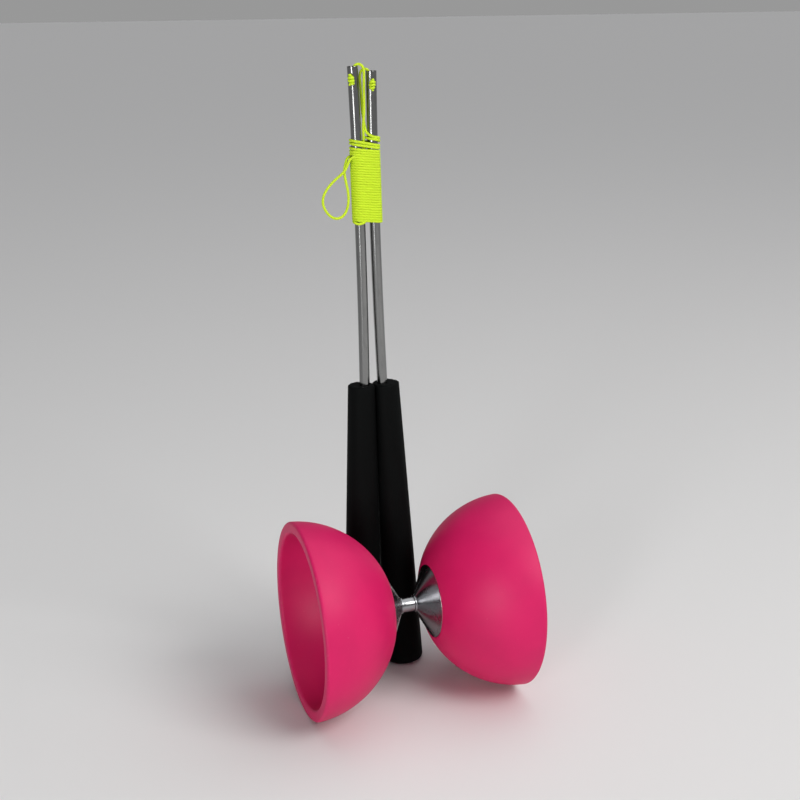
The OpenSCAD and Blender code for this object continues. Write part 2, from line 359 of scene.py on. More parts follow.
def grip_rubber(shade):
    """Matt black rubber with a fine pitted grain and lengthways extrusion lines."""
    made = Finish("grip_rubber", ior=1.40, specular_ior_level=0.08)
    pits = made.node("ShaderNodeTexVoronoi", None, {
        "Vector": made.place((1, 1, 0.7)), "Scale": 1500}, "Distance")
    lines = made.noise(made.place((1, 1, 0.01)), 900, 3, 0.6)
    bloom = made.band(made.noise(made.place((1, 1, 0.4)), 60, 4, 0.6), 0.40, 0.72)
    base = made.mixed(bloom * 0.5, shade, darker(shade, 1.9))
    under = made.relief(lines, 0.00005, 0.5)
    return made.finish(
        base_color=base,
        roughness=0.62 + 0.14 * bloom,
        normal=made.relief(pits, 0.00008, 0.5, under))


def moulded_plastic(shade):
    """Black moulded plastic with a sparked texture."""
    made = Finish("moulded_plastic", ior=1.46)
    spark = made.noise(made.place(), 2400, 3, 0.7)
    wear = made.band(made.noise(made.place(), 300, 3, 0.6), 0.5, 0.7)
    return made.finish(
        base_color=made.mixed(wear * 0.4, shade, darker(shade, 2.2)),
        roughness=0.48 + 0.14 * spark,
        normal=made.relief(spark, 0.00004, 0.5))


def braided_string(shade):
    """Eight strands plaited round a core: two families of stripes on the string's own UV
    map, where U counts diameters along it and V goes once round it. The grooves between
    the strands are darkened in the colour as painted shade."""
    made = Finish("braided_string", ior=1.45)
    along, around, _ = made.parts(made.node("ShaderNodeUVMap", {"uv_map": "braid"}))
    strands, lay = 4, 0.85
    one_way = (TURN * strands * around + TURN * lay * along)
    other_way = (TURN * strands * around - TURN * lay * along)
    first = 0.5 + 0.5 * one_way.math("SINE", one_way)
    second = 0.5 + 0.5 * other_way.math("SINE", other_way)
    height = first.math("MAXIMUM", first, second)
    fibres = made.noise(made.place(), 4200, 3, 0.7)
    # painted shade: the colour is darkened where the braid's height is low, in the grooves between
    # the strands
    groove = 1 - made.band(height, 0.40, 0.90)
    base = made.mixed(groove * 0.75, shade, (shade[0] * 0.50, shade[1] * 0.55, shade[2] * 0.4))
    tuft = made.mixed(made.band(fibres, 0.55, 0.75) * 0.3, base, (0.80, 1.0, 0.10))
    return made.finish(
        base_color=tuft,
        roughness=0.62 + 0.2 * fibres,
        normal=made.relief(height + 0.35 * fibres, 0.00009, 0.7))


def pale_floor(shade):
    """Matt pale floor with a trace of paper tooth."""
    made = Finish("pale_floor", roughness=0.9)
    tooth = made.noise(made.place(), 240, 3, 0.6)
    return made.finish(
        base_color=made.mixed(tooth * 0.25, shade, darker(shade, 0.985)),
        normal=made.relief(tooth, 0.00005, 0.2))


# ---- surfaces ----

def grid_faces(rows, columns, closed):
    """Quads of a grid of points whose columns go round, and whose rows do if closed."""
    row = np.arange(rows if closed else rows - 1)[:, None]
    column = np.arange(columns)[None, :]
    after = (column + 1) % columns
    here, there = row * columns, (row + 1) % rows * columns
    return np.stack([here + column, here + after, there + after, there + column], -1)


def mesh_of(name, points, closed, sharp=None, uv_step=None, bevel=None):
    """An object from a grid of points, rows by columns by 3. Rows that shrink to a point are
    welded, faces point outwards, and edges sharper than the angle stay sharp. With uv_step,
    a UV map holds the row number times uv_step and the share of the way round."""
    rows, columns, _ = points.shape
    faces = grid_faces(rows, columns, closed)
    count = faces.shape[0] * faces.shape[1]
    mesh = bpy.data.meshes.new(name)
    mesh.vertices.add(rows * columns)
    mesh.vertices.foreach_set("co", points.astype(np.float32).ravel())
    mesh.loops.add(count * 4)
    mesh.loops.foreach_set("vertex_index", faces.astype(np.int32).ravel())
    mesh.polygons.add(count)
    mesh.polygons.foreach_set("loop_start", np.arange(0, count * 4, 4, dtype=np.int32))
    mesh.update(calc_edges=True)
    if uv_step:
        row, column = np.mgrid[0:faces.shape[0], 0:columns]
        u = np.stack([row, row, row + 1, row + 1], -1) * uv_step
        v = np.stack([column, column + 1, column + 1, column], -1) / columns
        layer = mesh.uv_layers.new(name="braid")
        layer.data.foreach_set("uv", np.stack([u, v], -1).astype(np.float32).ravel())
    shell = bmesh.new()
    shell.from_mesh(mesh)
    bmesh.ops.remove_doubles(shell, verts=shell.verts, dist=1e-7)
    bmesh.ops.dissolve_degenerate(shell, edges=shell.edges, dist=1e-8)
    bmesh.ops.recalc_face_normals(shell, faces=shell.faces)
    shell.to_mesh(mesh)
    shell.free()
    mesh.shade_smooth()
    if sharp:
        mesh.set_sharp_from_angle(angle=math.radians(sharp))
    piece = bpy.data.objects.new(name, mesh)
    bpy.context.scene.collection.objects.link(piece)
    if bevel:
        edge = piece.modifiers.new("edges", "BEVEL")
        edge.width = bevel
        edge.segments = 2
        edge.limit_method = "ANGLE"
        edge.angle_limit = math.radians(25)
    return piece


def arc(centre, radius, start, end, count=7):
    """Points of an arc in a plane, from one angle to another in degrees."""
    a = np.radians(np.linspace(start, end, count))
    return np.stack([centre[0] + radius * np.cos(a), centre[1] + radius * np.sin(a)], -1)


def rounded(corners, radii, count=5):
    """A closed outline with its corners rounded: each is an arc that touches both edges."""
    outline = []
    corners = [np.array(corner, float) for corner in corners]
    for i, (corner, radius) in enumerate(zip(corners, radii)):
        back = corners[i - 1] - corner
        ahead = corners[(i + 1) % len(corners)] - corner
        back, ahead = back / np.linalg.norm(back), ahead / np.linalg.norm(ahead)
        half = math.acos(np.clip(back @ ahead, -1, 1)) / 2
        centre = corner + (back + ahead) / np.linalg.norm(back + ahead) * radius / math.sin(half)
        first = corner + back * radius / math.tan(half) - centre
        last = corner + ahead * radius / math.tan(half) - centre
        share = np.linspace(0, 1, count)[:, None]
        spoke = first * (1 - share) + last * share
        outline.append(centre + spoke / np.linalg.norm(spoke, axis=1)[:, None] * radius)
    return np.concatenate(outline)


def once_round(count):
    """Even angles once round, the last short of the first."""
    return np.linspace(0, TURN, count, endpoint=False)


def spun(along, radius, turn, axle_z):
    """Points round the axle: (along, radius times cosine, radius times sine) at each turn."""
    return np.stack([
        along + 0 * turn, radius * np.cos(turn), axle_z + radius * np.sin(turn)], -1)


def lathe(profile, side, axle_z, columns=128):
    """A profile of (radius, distance from the middle) spun about the axle on one side."""
    turn = once_round(columns)
    return spun(side * profile[:, 1:], profile[:, :1], turn, axle_z)


def distances(line):
    """How far along a line each of its points is."""
    steps = np.linalg.norm(np.diff(line, axis=0), axis=1)
    return np.concatenate([[0], np.cumsum(steps)])


def points_along(line, at):
    """The points of a line at these distances from its start."""
    along = distances(line)
    return np.stack([np.interp(at, along, column) for column in line.T], -1)


def smoothed(route, step, spread):
    """A route resampled at even steps after its corners are rounded: each point becomes the
    average of its surroundings, weighted by a bell curve of that spread."""
    fine, wing = spread / 6, 18
    line = points_along(route, np.arange(0, distances(route)[-1], fine))
    bell = np.exp(-0.5 * (np.arange(-wing, wing + 1) * fine / spread) ** 2)
    bell /= bell.sum()
    before = 2 * line[0] - line[wing:0:-1]
    after = 2 * line[-1] - line[-2:-wing - 2:-1]
    padded = np.concatenate([before, line, after])
    line = np.stack([np.convolve(column, bell, "valid") for column in padded.T], -1)
    end = distances(line)[-1]
    return points_along(line, np.linspace(0, end, int(end / step) + 1))


def unit(vectors):
    """Vectors of length one."""
    return vectors / np.linalg.norm(vectors, axis=-1, keepdims=True)


def carried_axes(line):
    """Two directions square to a line that don't twist along it. A first pair comes from
    whichever of Z and Y is further from the heading; the twist from each point to the next
    is measured, summed and turned back."""
    heading = unit(np.gradient(line, axis=0))
    guide = np.where(np.abs(heading[:, 2:]) < 0.8, [[0.0, 0.0, 1.0]], [[0.0, 1.0, 0.0]])
    first = unit(np.cross(heading, guide))
    second = np.cross(heading, first)
    brought = first[:-1] - (first[:-1] * heading[1:]).sum(1, keepdims=True) * heading[1:]
    twist = np.arctan2((brought * second[1:]).sum(1), (brought * first[1:]).sum(1))
    back = np.concatenate([[0], np.cumsum(twist)])[:, None]
    return (np.cos(back) * first + np.sin(back) * second,
            np.cos(back) * second - np.sin(back) * first)


def string_surface(line, thickness, sides, relief=0.05, strands=4, lay=0.85):
    """A string round a line: the radius rises by a share where one of two families of
    strands passes, and falls to nothing over the last half diameter at each end."""
    step = np.linalg.norm(line[1] - line[0])
    along = np.arange(len(line))[:, None] * step
    around = once_round(sides)[None, :]
    wave = TURN * lay * along / thickness
    crown = np.maximum(np.sin(strands * around + wave), np.sin(strands * around - wave))
    from_end = np.minimum(along, along[::-1]) / (thickness / 2)
    closing = np.sqrt(np.clip(1 - (1 - np.clip(from_end, 0, 1)) ** 2, 0, 1))
    radius = thickness / 2 * (1 - relief + relief * crown) * closing
    first, second = carried_axes(line)
    ring = (np.cos(around)[..., None] * first[:, None, :]
            + np.sin(around)[..., None] * second[:, None, :])
    return line[:, None, :] + radius[..., None] * ring


# ---- frames of the hand sticks ----

def about_y(points, angle_value):
    """Points turned about Y: Z goes towards X."""
    x, y, z = np.moveaxis(points, -1, 0)
    c, s = math.cos(angle_value), math.sin(angle_value)
    return np.stack([x * c + z * s, y, z * c - x * s], -1)


def pair_to_row(points, sticks):
    """From the frame in which the sticks are mirror images to the model's frame."""
    return about_y(points, sticks.pair_tilt) + (sticks.pair_x, sticks.pair_y, sticks.pair_z)


def stick_to_pair(points, side, lean, foot, sticks):
    """From one stick's own frame, X away from the other stick, to the pair's frame."""
    placed = about_y(points, -lean) + (sticks.pitch / 2, 0, foot)
    return placed * (side, 1, 1)


def tube_points(side, along, radius, turn, sticks):
    """Points round a tube's bowed axis in the pair's frame: the axis is an arc that starts
    upright at the foot and bends away from the other stick."""
    a = along / sticks.bow
    flat = np.zeros_like(a + turn)
    outwards = np.stack([np.cos(a) + flat, flat, -np.sin(a) + flat], -1)
    axis = np.stack([
        sticks.bow * (1 - np.cos(a)) + flat, flat, sticks.bow * np.sin(a) + flat], -1)
    ring = (np.cos(turn)[..., None] * outwards
            + np.sin(turn)[..., None] * np.array([0.0, 1.0, 0.0]))
    local = axis + np.asarray(radius)[..., None] * ring
    return stick_to_pair(local, side, sticks.tube_lean, sticks.plug_t, sticks)


def tube_length(side, sticks):
    """Length of a tube from its foot to its tip."""
    return (sticks.left_len if side < 0 else sticks.right_len) - sticks.plug_t


# ---- pieces ----

def finished(piece, material, body, slot, *nodes):
    """Gives a piece its material and its body, and hides the CAD nodes it stands for; the slot is
    not used.
    """
    piece.data.materials.clear()
    piece.data.materials.append(material)
    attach(piece, body)
    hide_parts(*nodes)
    return piece


BULGE_X, BULGE_R = 1.88, 2.1


def bowl_outline(turn, depth, radius, rim_x):
    """A superellipse from the rim inwards: (distance / depth) to the power BULGE_X plus
    (radius share) to the power BULGE_R is one."""
    return np.stack([
        radius * np.cos(turn) ** (2 / BULGE_R), rim_x - depth * np.sin(turn) ** (2 / BULGE_X)], -1)


def cup_profile(spool):
    """The closed outline of a cup's wall: outer bowl, rounded rim, inner bowl, floor, bore
    and the seat that the cone sits in."""
    radius = spool.cup_d / 2
    hub_turn = math.acos((spool.hub_d / spool.cup_d) ** (BULGE_R / 2))
    depth = (spool.rim_x - spool.hub_x) / math.sin(hub_turn) ** (2 / BULGE_X)
    inner_r, inner_depth = radius - spool.wall, depth - spool.wall
    floor_x = spool.seat_x + spool.floor_t
    floor_turn = math.asin(((spool.rim_x - floor_x) / inner_depth) ** (BULGE_X / 2))
    first = (2 * spool.rim_round / depth) ** (BULGE_X / 2)
    outer = bowl_outline(np.linspace(hub_turn, first, 72), depth, radius, spool.rim_x)
    inner = bowl_outline(np.linspace(first, floor_turn, 64), inner_depth, inner_r, spool.rim_x)
    edge, r = spool.rim_x - spool.rim_round, spool.rim_round
    lip = np.concatenate([
        arc((radius - r, edge), r, 0, 90, 9), arc((inner_r + r, edge), r, 90, 180, 9)])
    fillet = inner[-1] + np.array([[-0.0004, -0.0001], [-0.0012, 0.0]])
    bore_r, bevel = spool.bore_d / 2, 0.0004
    seat_r, break_edge = spool.cone_d / 2 + 0.00015, 0.0002
    floor = np.array([
        [bore_r + bevel, floor_x], [bore_r, floor_x - bevel], [bore_r, spool.seat_x],
        [seat_r, spool.seat_x], [seat_r, spool.hub_x + break_edge],
        [seat_r + break_edge, spool.hub_x]])
    hub_edge = outer[0] + np.array([[-0.0003, 0.0]])
    return np.concatenate([hub_edge, outer[1:], lip, inner, fillet, floor])


class AddCups(bpy.types.Operator):
    """Adds the two moulded cups"""

    bl_idname = "diabolo.add_cups"
    bl_label = "Cups"

    def execute(self, context):
        spool, colours = context.scene.diabolo_spool, context.scene.diabolo_colours
        axle_z = spool.cup_d / 2
        rubber = moulded_rubber(colours.cup, spool.rim_x)
        profile = cup_profile(spool)
        for name, side in SIDES.items():
            points = lathe(profile, side, axle_z, 224)
            cup = mesh_of(f"{name}_cup_shell", points, True, sharp=50)
            finished(cup, rubber, "spool", "cup", f"{name}_cup")
        return {"FINISHED"}


class AddCones(bpy.types.Operator):
    """Adds the two turned cones and the sleeve between them"""

    bl_idname = "diabolo.add_cones"
    bl_label = "Cones and sleeve"

    def execute(self, context):
        spool, colours = context.scene.diabolo_spool, context.scene.diabolo_colours
        axle_z, bore_r = spool.cup_d / 2, spool.bore_d / 2
        metal = turned_aluminium(colours.turned)
        neck_x, collar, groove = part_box("right_cone")[0].x, 0.0006, 0.0003
        neck_r, wide_r = spool.neck_d / 2, spool.cone_d / 2
        cone = rounded(
            [(bore_r, neck_x), (neck_r, neck_x), (neck_r, neck_x + collar),
             (neck_r - groove, neck_x + collar + groove), (wide_r, spool.hub_x),
             (wide_r, spool.seat_x), (bore_r, spool.seat_x)],
            [0.0003, 0.00015, 0.00015, 0.0001, 0.0003, 0.0002, 0.0003])
        for name, side in SIDES.items():
            made = mesh_of(f"{name}_turned_cone", lathe(cone, side, axle_z, 192), True, sharp=35)
            finished(made, metal, "spool", "turned_aluminium", f"{name}_cone")
        sleeve_x, sleeve_r = reach("string_sleeve", 0) / 2, reach("string_sleeve", 2) / 2
        ring = rounded(
            [(bore_r, -sleeve_x), (sleeve_r, -sleeve_x), (sleeve_r, sleeve_x),
             (bore_r, sleeve_x)], [0.0002] * 4)
        made = mesh_of("turned_string_sleeve", lathe(ring, 1, axle_z, 96), True, sharp=35)
        finished(made, metal, "spool", "turned_aluminium", "string_sleeve")
        return {"FINISHED"}


def threaded_rod(half, radius, pitch, axle_z):
    """A rod whose radius follows a cosine of the height in turns less the angle in turns, so
    that its ridges climb as a thread. Both ends are chamfered and closed."""
    depth, chamfer = 0.55 * pitch, 0.0007
    along = np.concatenate([
        [-half, -half], np.linspace(-half, half, int(2 * half / pitch * 9)), [half, half]])
    turn = once_round(36)
    phase = TURN * along[:, None] / pitch - turn
    ridge = (0.5 + 0.5 * np.cos(phase)) ** 0.8
    from_end = half - np.abs(along)[:, None]
    r = np.minimum(radius - depth * (1 - ridge), radius - chamfer + from_end)
    r[:2] *= np.array([[0.0], [0.93]])
    r[-2:] *= np.array([[0.93], [0.0]])
    return spun(along[:, None], r, turn, axle_z)


def hex_nut(side, start, height, flats, bore_r, axle_z):
    """A nut as rings from the bore out to the hexagon and back. The hexagon's radius at an
    angle is half the width over the cosine of the angle from the nearest flat's middle, and
    a cone of 30 degrees takes its corners off at both ends."""
    turn = once_round(96)
    sector = TURN / 6
    hexagon = flats / 2 / np.cos((turn + sector / 2) % sector - sector / 2)
    face_r, slope, sink = flats / 2 * 0.94, math.tan(math.radians(30)), 0.0005
    cut = (hexagon - face_r) * slope
    flat = np.zeros_like(turn)
    rings = [
        (bore_r + flat, start + sink), (bore_r + sink + flat, start + flat),
        (face_r + flat, start + flat), (hexagon, start + cut),
        (hexagon, start + height - cut), (face_r + flat, start + height + flat),
        (bore_r + sink + flat, start + height + flat), (bore_r + flat, start + height - sink)]
    radius = np.stack([ring[0] for ring in rings])
    along = np.stack([ring[1] + flat for ring in rings])
    return spun(side * along, radius, turn, axle_z)


def split_ring(side, start, height, outer_r, inner_r, gap, axle_z):
    """A rectangular section with rounded corners, carried round the axle from one side of
    the gap at the bottom to the other. The end rows shrink to the section's middle."""
    section = rounded(
        [(inner_r, start), (outer_r, start), (outer_r, start + height), (inner_r, start + height)],
        [0.00025] * 4, 4)
    middle = section.mean(0)
    half_gap = gap / (outer_r + inner_r)
    turn = np.linspace(half_gap, TURN - half_gap, 90) - TURN / 4
    turn = np.concatenate([turn[:1], turn, turn[-1:]])[:, None]
    size = np.ones_like(turn)
    size[[0, -1]] = 0
    radius = middle[0] + (section[:, 0] - middle[0]) * size
    along = middle[1] + (section[:, 1] - middle[1]) * size
    return spun(side * along, radius, turn, axle_z)


class AddAxle(bpy.types.Operator):
    """Adds the threaded rod and, on each side, its plate, spring washer and nut"""

    bl_idname = "diabolo.add_axle"
    bl_label = "Axle"

    def execute(self, context):
        spool, colours = context.scene.diabolo_spool, context.scene.diabolo_colours
        axle_z, bore_r = spool.cup_d / 2, spool.bore_d / 2
        zinc = zinc_plate(colours.zinc)
        half, rod_r = reach("axle_rod", 0) / 2, reach("axle_rod", 2) / 2
        points = threaded_rod(half, rod_r, spool.thread_pitch, axle_z)
        rod = mesh_of("threaded_axle_rod", points, False, sharp=60)
        finished(rod, zinc, "spool", "zinc_steel", "axle_rod")
        for name, side in SIDES.items():
            low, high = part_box("right_clamp_plate")
            plate_r = reach("right_clamp_plate", 2) / 2
            plate = rounded(
                [(bore_r, low.x), (plate_r, low.x), (plate_r, high.x), (bore_r, high.x)],
                [0.0001, 0.0001, 0.0006, 0.0003])
            made = mesh_of(f"{name}_zinc_plate", lathe(plate, side, axle_z), True, sharp=35)
            finished(made, zinc, "spool", "zinc_steel", f"{name}_clamp_plate")
            low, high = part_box("right_spring_washer")
            points = split_ring(
                side, low.x, high.x - low.x, reach("right_spring_washer", 1) / 2, bore_r,
                spool.washer_gap, axle_z)
            made = mesh_of(f"{name}_split_washer", points, False, sharp=40)
            finished(made, zinc, "spool", "zinc_steel", f"{name}_spring_washer")
            low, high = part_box("right_nut")
            points = hex_nut(
                side, low.x, high.x - low.x, spool.nut_af, spool.nut_bore_d / 2, axle_z)
            made = mesh_of(f"{name}_hex_nut", points, True, sharp=25, bevel=0.00012)
            finished(made, zinc, "spool", "zinc_steel", f"{name}_nut")
        return {"FINISHED"}


class AddTubes(bpy.types.Operator):
    """Adds the two bowed aluminium tubes"""

    bl_idname = "diabolo.add_tubes"
    bl_label = "Tubes"

    def execute(self, context):
        sticks, colours = context.scene.diabolo_sticks, context.scene.diabolo_colours
        metal = drawn_aluminium(colours.drawn)
        outer, inner = sticks.tube_d / 2, sticks.tube_d / 2 - sticks.tube_wall
        edge, rows = 0.00018, 110
        turn = once_round(64)[None, :]
        for name, side in SIDES.items():
            end = tube_length(side, sticks)
            rise = np.linspace(0.0, end - 0.0006, rows)
            along = np.concatenate([
                rise, end - edge * np.array([1.0, 0.3, 0.0, 0.0, 0.3, 1.0]), rise[::-1]])
            radius = np.concatenate([
                np.full(rows, outer), [outer, outer - 0.3 * edge, outer - edge],
                [inner + edge, inner + 0.3 * edge, inner], np.full(rows, inner)])
            points = tube_points(side, along[:, None], radius[:, None] + 0 * turn, turn, sticks)
            made = mesh_of(f"{name}_drawn_tube", pair_to_row(points, sticks), True, sharp=35)
            drill_knot_hole(made, side, sticks)
            finished(made, metal, "hand_sticks", "tube_aluminium", f"{name}_tube")
        return {"FINISHED"}


def knot_frame(side, sticks):
    """The middle of a tube at its knot hole, the way out of the hole, the way across it and
    the way up the tube, in the model's frame."""
    drop = sticks.left_knot_drop if side < 0 else sticks.right_knot_drop
    turn = sticks.left_knot_turn if side < 0 else sticks.right_knot_turn
    along = np.array([tube_length(side, sticks) - drop])
    facing = turn - TURN / 4
    radius, around = np.array([0.0, 1.0, 1.0]), np.array([0.0, facing, facing + TURN / 4])
    points = pair_to_row(tube_points(side, along, radius, around, sticks), sticks)
    middle = points[0]
    out, across = unit(points[1] - middle), unit(points[2] - middle)
    up = np.cross(across, out)
    return middle, out, across, up if up[2] > 0 else -up


def drill_knot_hole(tube, side, sticks):
    """Cuts the round hole that the string's end comes out of through the tube's front wall."""
    middle, out, across, up = knot_frame(side, sticks)
    turn = once_round(32)
    hole_r = sticks.knot_hole_d / 2
    radius = np.array([0.0, hole_r, hole_r, 0.0])[:, None, None]
    along = np.array([0.0005, 0.0005, 0.005, 0.005])[:, None, None]
    ring = np.cos(turn)[:, None] * across + np.sin(turn)[:, None] * up
    drill = mesh_of("drill", middle + along * out + radius * ring, False)
    cut = tube.modifiers.new("hole", "BOOLEAN")
    cut.object, cut.operation, cut.solver = drill, "DIFFERENCE", "EXACT"
    bpy.context.view_layer.objects.active = tube
    bpy.ops.object.modifier_apply(modifier="hole")
    bpy.data.objects.remove(drill)


class AddGrips(bpy.types.Operator):
    """Adds the two black grips and the plugs in their butts"""

    bl_idname = "diabolo.add_grips"
    bl_label = "Grips and plugs"

    def execute(self, context):
        sticks, colours = context.scene.diabolo_sticks, context.scene.diabolo_colours
        rubber, plastic = grip_rubber(colours.grip), moulded_plastic(colours.plug)
        for name, side in SIDES.items():
            made = mesh_of(f"{name}_sleeve_grip", grip_points(side, sticks), True, sharp=50)
            finished(made, rubber, "hand_sticks", "grip", f"{name}_grip")
            made = mesh_of(f"{name}_plug", plug_points(side, sticks), False, sharp=40)
            finished(made, plastic, "hand_sticks", "plug", f"{name}_butt_plug")
        return {"FINISHED"}


def grip_points(side, sticks):
    """Rings of a grip: up the outside in the grip's own frame, across its top, down the bore
    round the tube and out through the plug's pocket. The outside is a cone that leans
    inwards; where it would cross the middle plane it is pressed flat, with a smooth
    maximum of its distance from the plane. A sum of waves round the top leaves its cut
    edge uneven."""
    turn = once_round(120)[None, :]
    butt_r, top_r, tall = sticks.grip_butt_d / 2, sticks.grip_top_d / 2, sticks.grip_len
    low = arc((butt_r - 0.002, 0.002), 0.002, -90, 0, 8)
    high = arc((top_r - 0.0008, tall - 0.0008), 0.0008, 0, 90, 6)
    share = np.linspace(0, 1, 60)[1:-1, None]
    straight = low[-1] * (1 - share) + high[0] * share
    crown_r, fade = 0.0042, 0.006
    crown = np.stack([np.linspace(top_r - 0.0012, crown_r, 4), np.full(4, tall + 0.0001)], -1)
    outline = np.concatenate([low, straight, high, crown])
    radius, height = outline[:, :1], outline[:, 1:]
    waves = np.random.default_rng(7 + side).uniform(-1, 1, (4, 7))
    count = np.array([2, 3, 5, 8, 13, 19, 29])[:, None]
    uneven = (waves[0][:, None] * np.sin(count * turn + 3 * waves[1][:, None])
              / count ** 0.35).sum(0)
    near_top = np.clip((height - tall + fade) / fade, 0, 1) ** 2
    inwards = np.clip((radius - crown_r) / (top_r - crown_r), 0, 1)
    height = height + 0.00028 * uneven * near_top * inwards
    radius = radius * (1 + 0.004 * np.sin(3 * turn + side) * near_top)
    local = np.stack([
        radius * np.cos(turn), radius * np.sin(turn), height + 0 * turn], -1)
    outside = stick_to_pair(local, side, sticks.grip_lean, 0, sticks)
    gap, soft = 0.0001, 0.0007
    clear = side * outside[..., 0] - gap
    outside[..., 0] = side * (gap + (clear + np.sqrt(clear ** 2 + soft ** 2)) / 2)
    bore, pocket = sticks.tube_d / 2 + 0.0001, sticks.plug_d / 2 + 0.0001
    down = np.linspace(tall - sticks.plug_t, 0.0, 40)
    foot = -sticks.plug_t
    rows = [(s, bore) for s in down] + [(0.0, pocket), (foot + 0.0006, pocket)]
    rows = np.array(rows)
    inside = tube_points(side, rows[:, :1], rows[:, 1:] + 0 * turn, turn, sticks)
    return pair_to_row(np.concatenate([outside, inside]), sticks)


def plug_points(side, sticks):
    """Rings of a plug: a dished head that fills the pocket, and a stem up into the tube."""
    turn = once_round(64)[None, :]
    head, stem = sticks.plug_d / 2, sticks.tube_d / 2 - sticks.tube_wall - 0.0001
    low, top, dish = 0.0003 - sticks.plug_t, 0.0, 0.0007
    rows = np.array([
        (low + dish, 0.0), (low + dish, head * 0.5), (low + dish * 0.8, head * 0.62),
        (low + dish * 0.1, head * 0.78), (low, head * 0.82), (low, head - 0.0005),
        (low + 0.00015, head - 0.00015), (low + 0.0005, head), (top - 0.0003, head),
        (top - 0.00005, head - 0.0003), (top - 0.00005, stem + 0.0002), (top + 0.0002, stem),
        (0.0115, stem), (0.012, stem - 0.0005), (0.012, 0.0)])
    points = tube_points(side, rows[:, :1], rows[:, 1:] + 0 * turn, turn, sticks)
    return pair_to_row(points, sticks)


# ---- string ----

# Where the string isn't wound, in millimetres; Y is measured from the tubes' plane.
LEFT_LEAD = [[-10.27, 0, 324.8], [-10.3, 0, 326.5], [-10.33, 0, 328.4],
             [-10.1, -0.1, 330.3], [-9.2, -0.3, 331.6], [-7.7, -0.6, 332.2],
             [-6.2, -0.85, 331.7], [-5.2, -1.0, 330.4], [-4.85, -1.15, 328.4],
             [-4.95, -1.2, 325.8], [-5.15, -1.2, 320], [-5.2, -1.15, 314],
             [-5.3, -1.1, 309], [-5.6, -0.9, 305], [-5.9, -0.7, 301]]
RIGHT_LEAD = [[-0.93, 0, 321.5], [-1.0, 0, 323.5], [-1.1, 0, 325.3], [-1.25, 0.05, 326.9],
              [-1.8, 0.2, 328.4], [-2.8, 0.4, 329.4], [-4.0, 0.6, 329.7], [-5.3, 0.8, 329.2],
              [-6.2, 0.95, 327.9], [-6.5, 1.05, 326.1], [-6.4, 1.1, 323.8],
              [-6.15, 1.05, 320], [-5.95, 1.0, 314], [-5.7, 0.9, 309], [-5.1, 0.6, 304],
              [-4.7, 0.2, 300.8], [-4.5, -0.6, 298.9]]
BOTTOM = [[-12.2, -2.3, 252.9], [-11.2, -3.3, 252.4], [-9.8, -3.7, 252.2],
          [-8.4, -3.6, 252.5], [-7.1, -3.3, 253.0], [-6.0, -2.6, 253.5], [-5.2, -1.6, 254.4],
          [-5.0, -0.8, 256.2], [-5.1, -0.6, 259.5], [-5.3, -0.6, 270], [-5.7, -0.7, 290]]
SLACK_LOOP = [[-13.5, 0.9, 286.3], [-14.5, 0.9, 285.3], [-15.2, 0.6, 283.5],
              [-16, 0.2, 281.1], [-16.3, 0, 278.8], [-16.2, -0.4, 276.5], [-15.8, -0.8, 273.8],
              [-15.3, -1, 271.1], [-14.8, -1, 268.2], [-14.7, -1, 265.7], [-14.9, -1, 262.8],
              [-15.5, -1, 260.3], [-16.6, -1.2, 258.1], [-18.1, -1.5, 256.5],
              [-19.8, -1.8, 255.7], [-21.6, -2, 255.5], [-23.4, -2, 256], [-25.1, -2, 257.1],
              [-26.6, -2, 258.7], [-27.8, -2, 260.7], [-28.6, -2, 262.8], [-28.7, -2, 265],
              [-28.3, -2, 267.3], [-27.1, -2, 269.6], [-25.3, -2, 272], [-23, -2.1, 274.3],
              [-20.6, -2.2, 276.3], [-18.4, -2.4, 278], [-16.7, -2.6, 279.7],
              [-15.7, -2.8, 281.6], [-14.9, -2.9, 283.6], [-14, -3, 285.3], [-12.9, -3, 286.2]]
# The first wrap, round the right tube alone: heights in millimetres by angle in degrees.
WRAP_ANGLES = [-150, -90, 0, 90, 180, 270, 360, 430]
WRAP_HEIGHTS = [297.6, 296.0, 295.1, 295.2, 295.7, 294.9, 293.6, 293.1]
# Height in millimetres and slant of the winding at the middle of the front of each loose
# turn, and below those the number of even turns down to the lowest.
TOP_TURNS = [293.9, 293.1, 291.6, 289.5]
TOP_SLANTS = [0.17, 0.19, 0.14]
EVEN_TURNS = 28
LOWEST = 253.5
LOOP_TURN = 6


def winding_radius(string, sticks):
    """From a tube's axis to the string's own middle where it is wound on the tube."""
    return sticks.tube_d / 2 + string.thickness / 2 + 0.00005


def wound_turns(first, last, string, sticks, count=28):
    """The winding from one turn number to another, counted from the front. A turn goes round
    the outline of two half circles and two straight lines that touches both tubes, drops
    by the winding's pitch, and slants down to the right."""
    radius = winding_radius(string, sticks)
    a = np.radians(np.linspace(-90, 90, 25))
    right = np.stack([string.wind_offset + radius * np.cos(a), radius * np.sin(a)], -1)
    outline = np.concatenate([[(0, -radius)], right, -right, [(0, -radius)]])
    share = distances(outline) / distances(outline)[-1]
    turn = np.linspace(first, last, int((last - first) * count) + 1)
    x, y = (np.interp(turn % 1, share, column) for column in outline.T)
    even = np.linspace(TOP_TURNS[-1], LOWEST, EVEN_TURNS + 1)[1:]
    heights = np.array([*TOP_TURNS, *even, 2 * even[-1] - even[-2]]) * MM
    slants = np.array([*TOP_SLANTS, string.slant])
    slant = np.interp(turn, np.arange(len(slants)), slants)
    z = np.interp(turn, np.arange(len(heights)), heights) - slant * x
    return pair_to_row(np.stack([x, y, z - sticks.pair_z], -1), sticks)


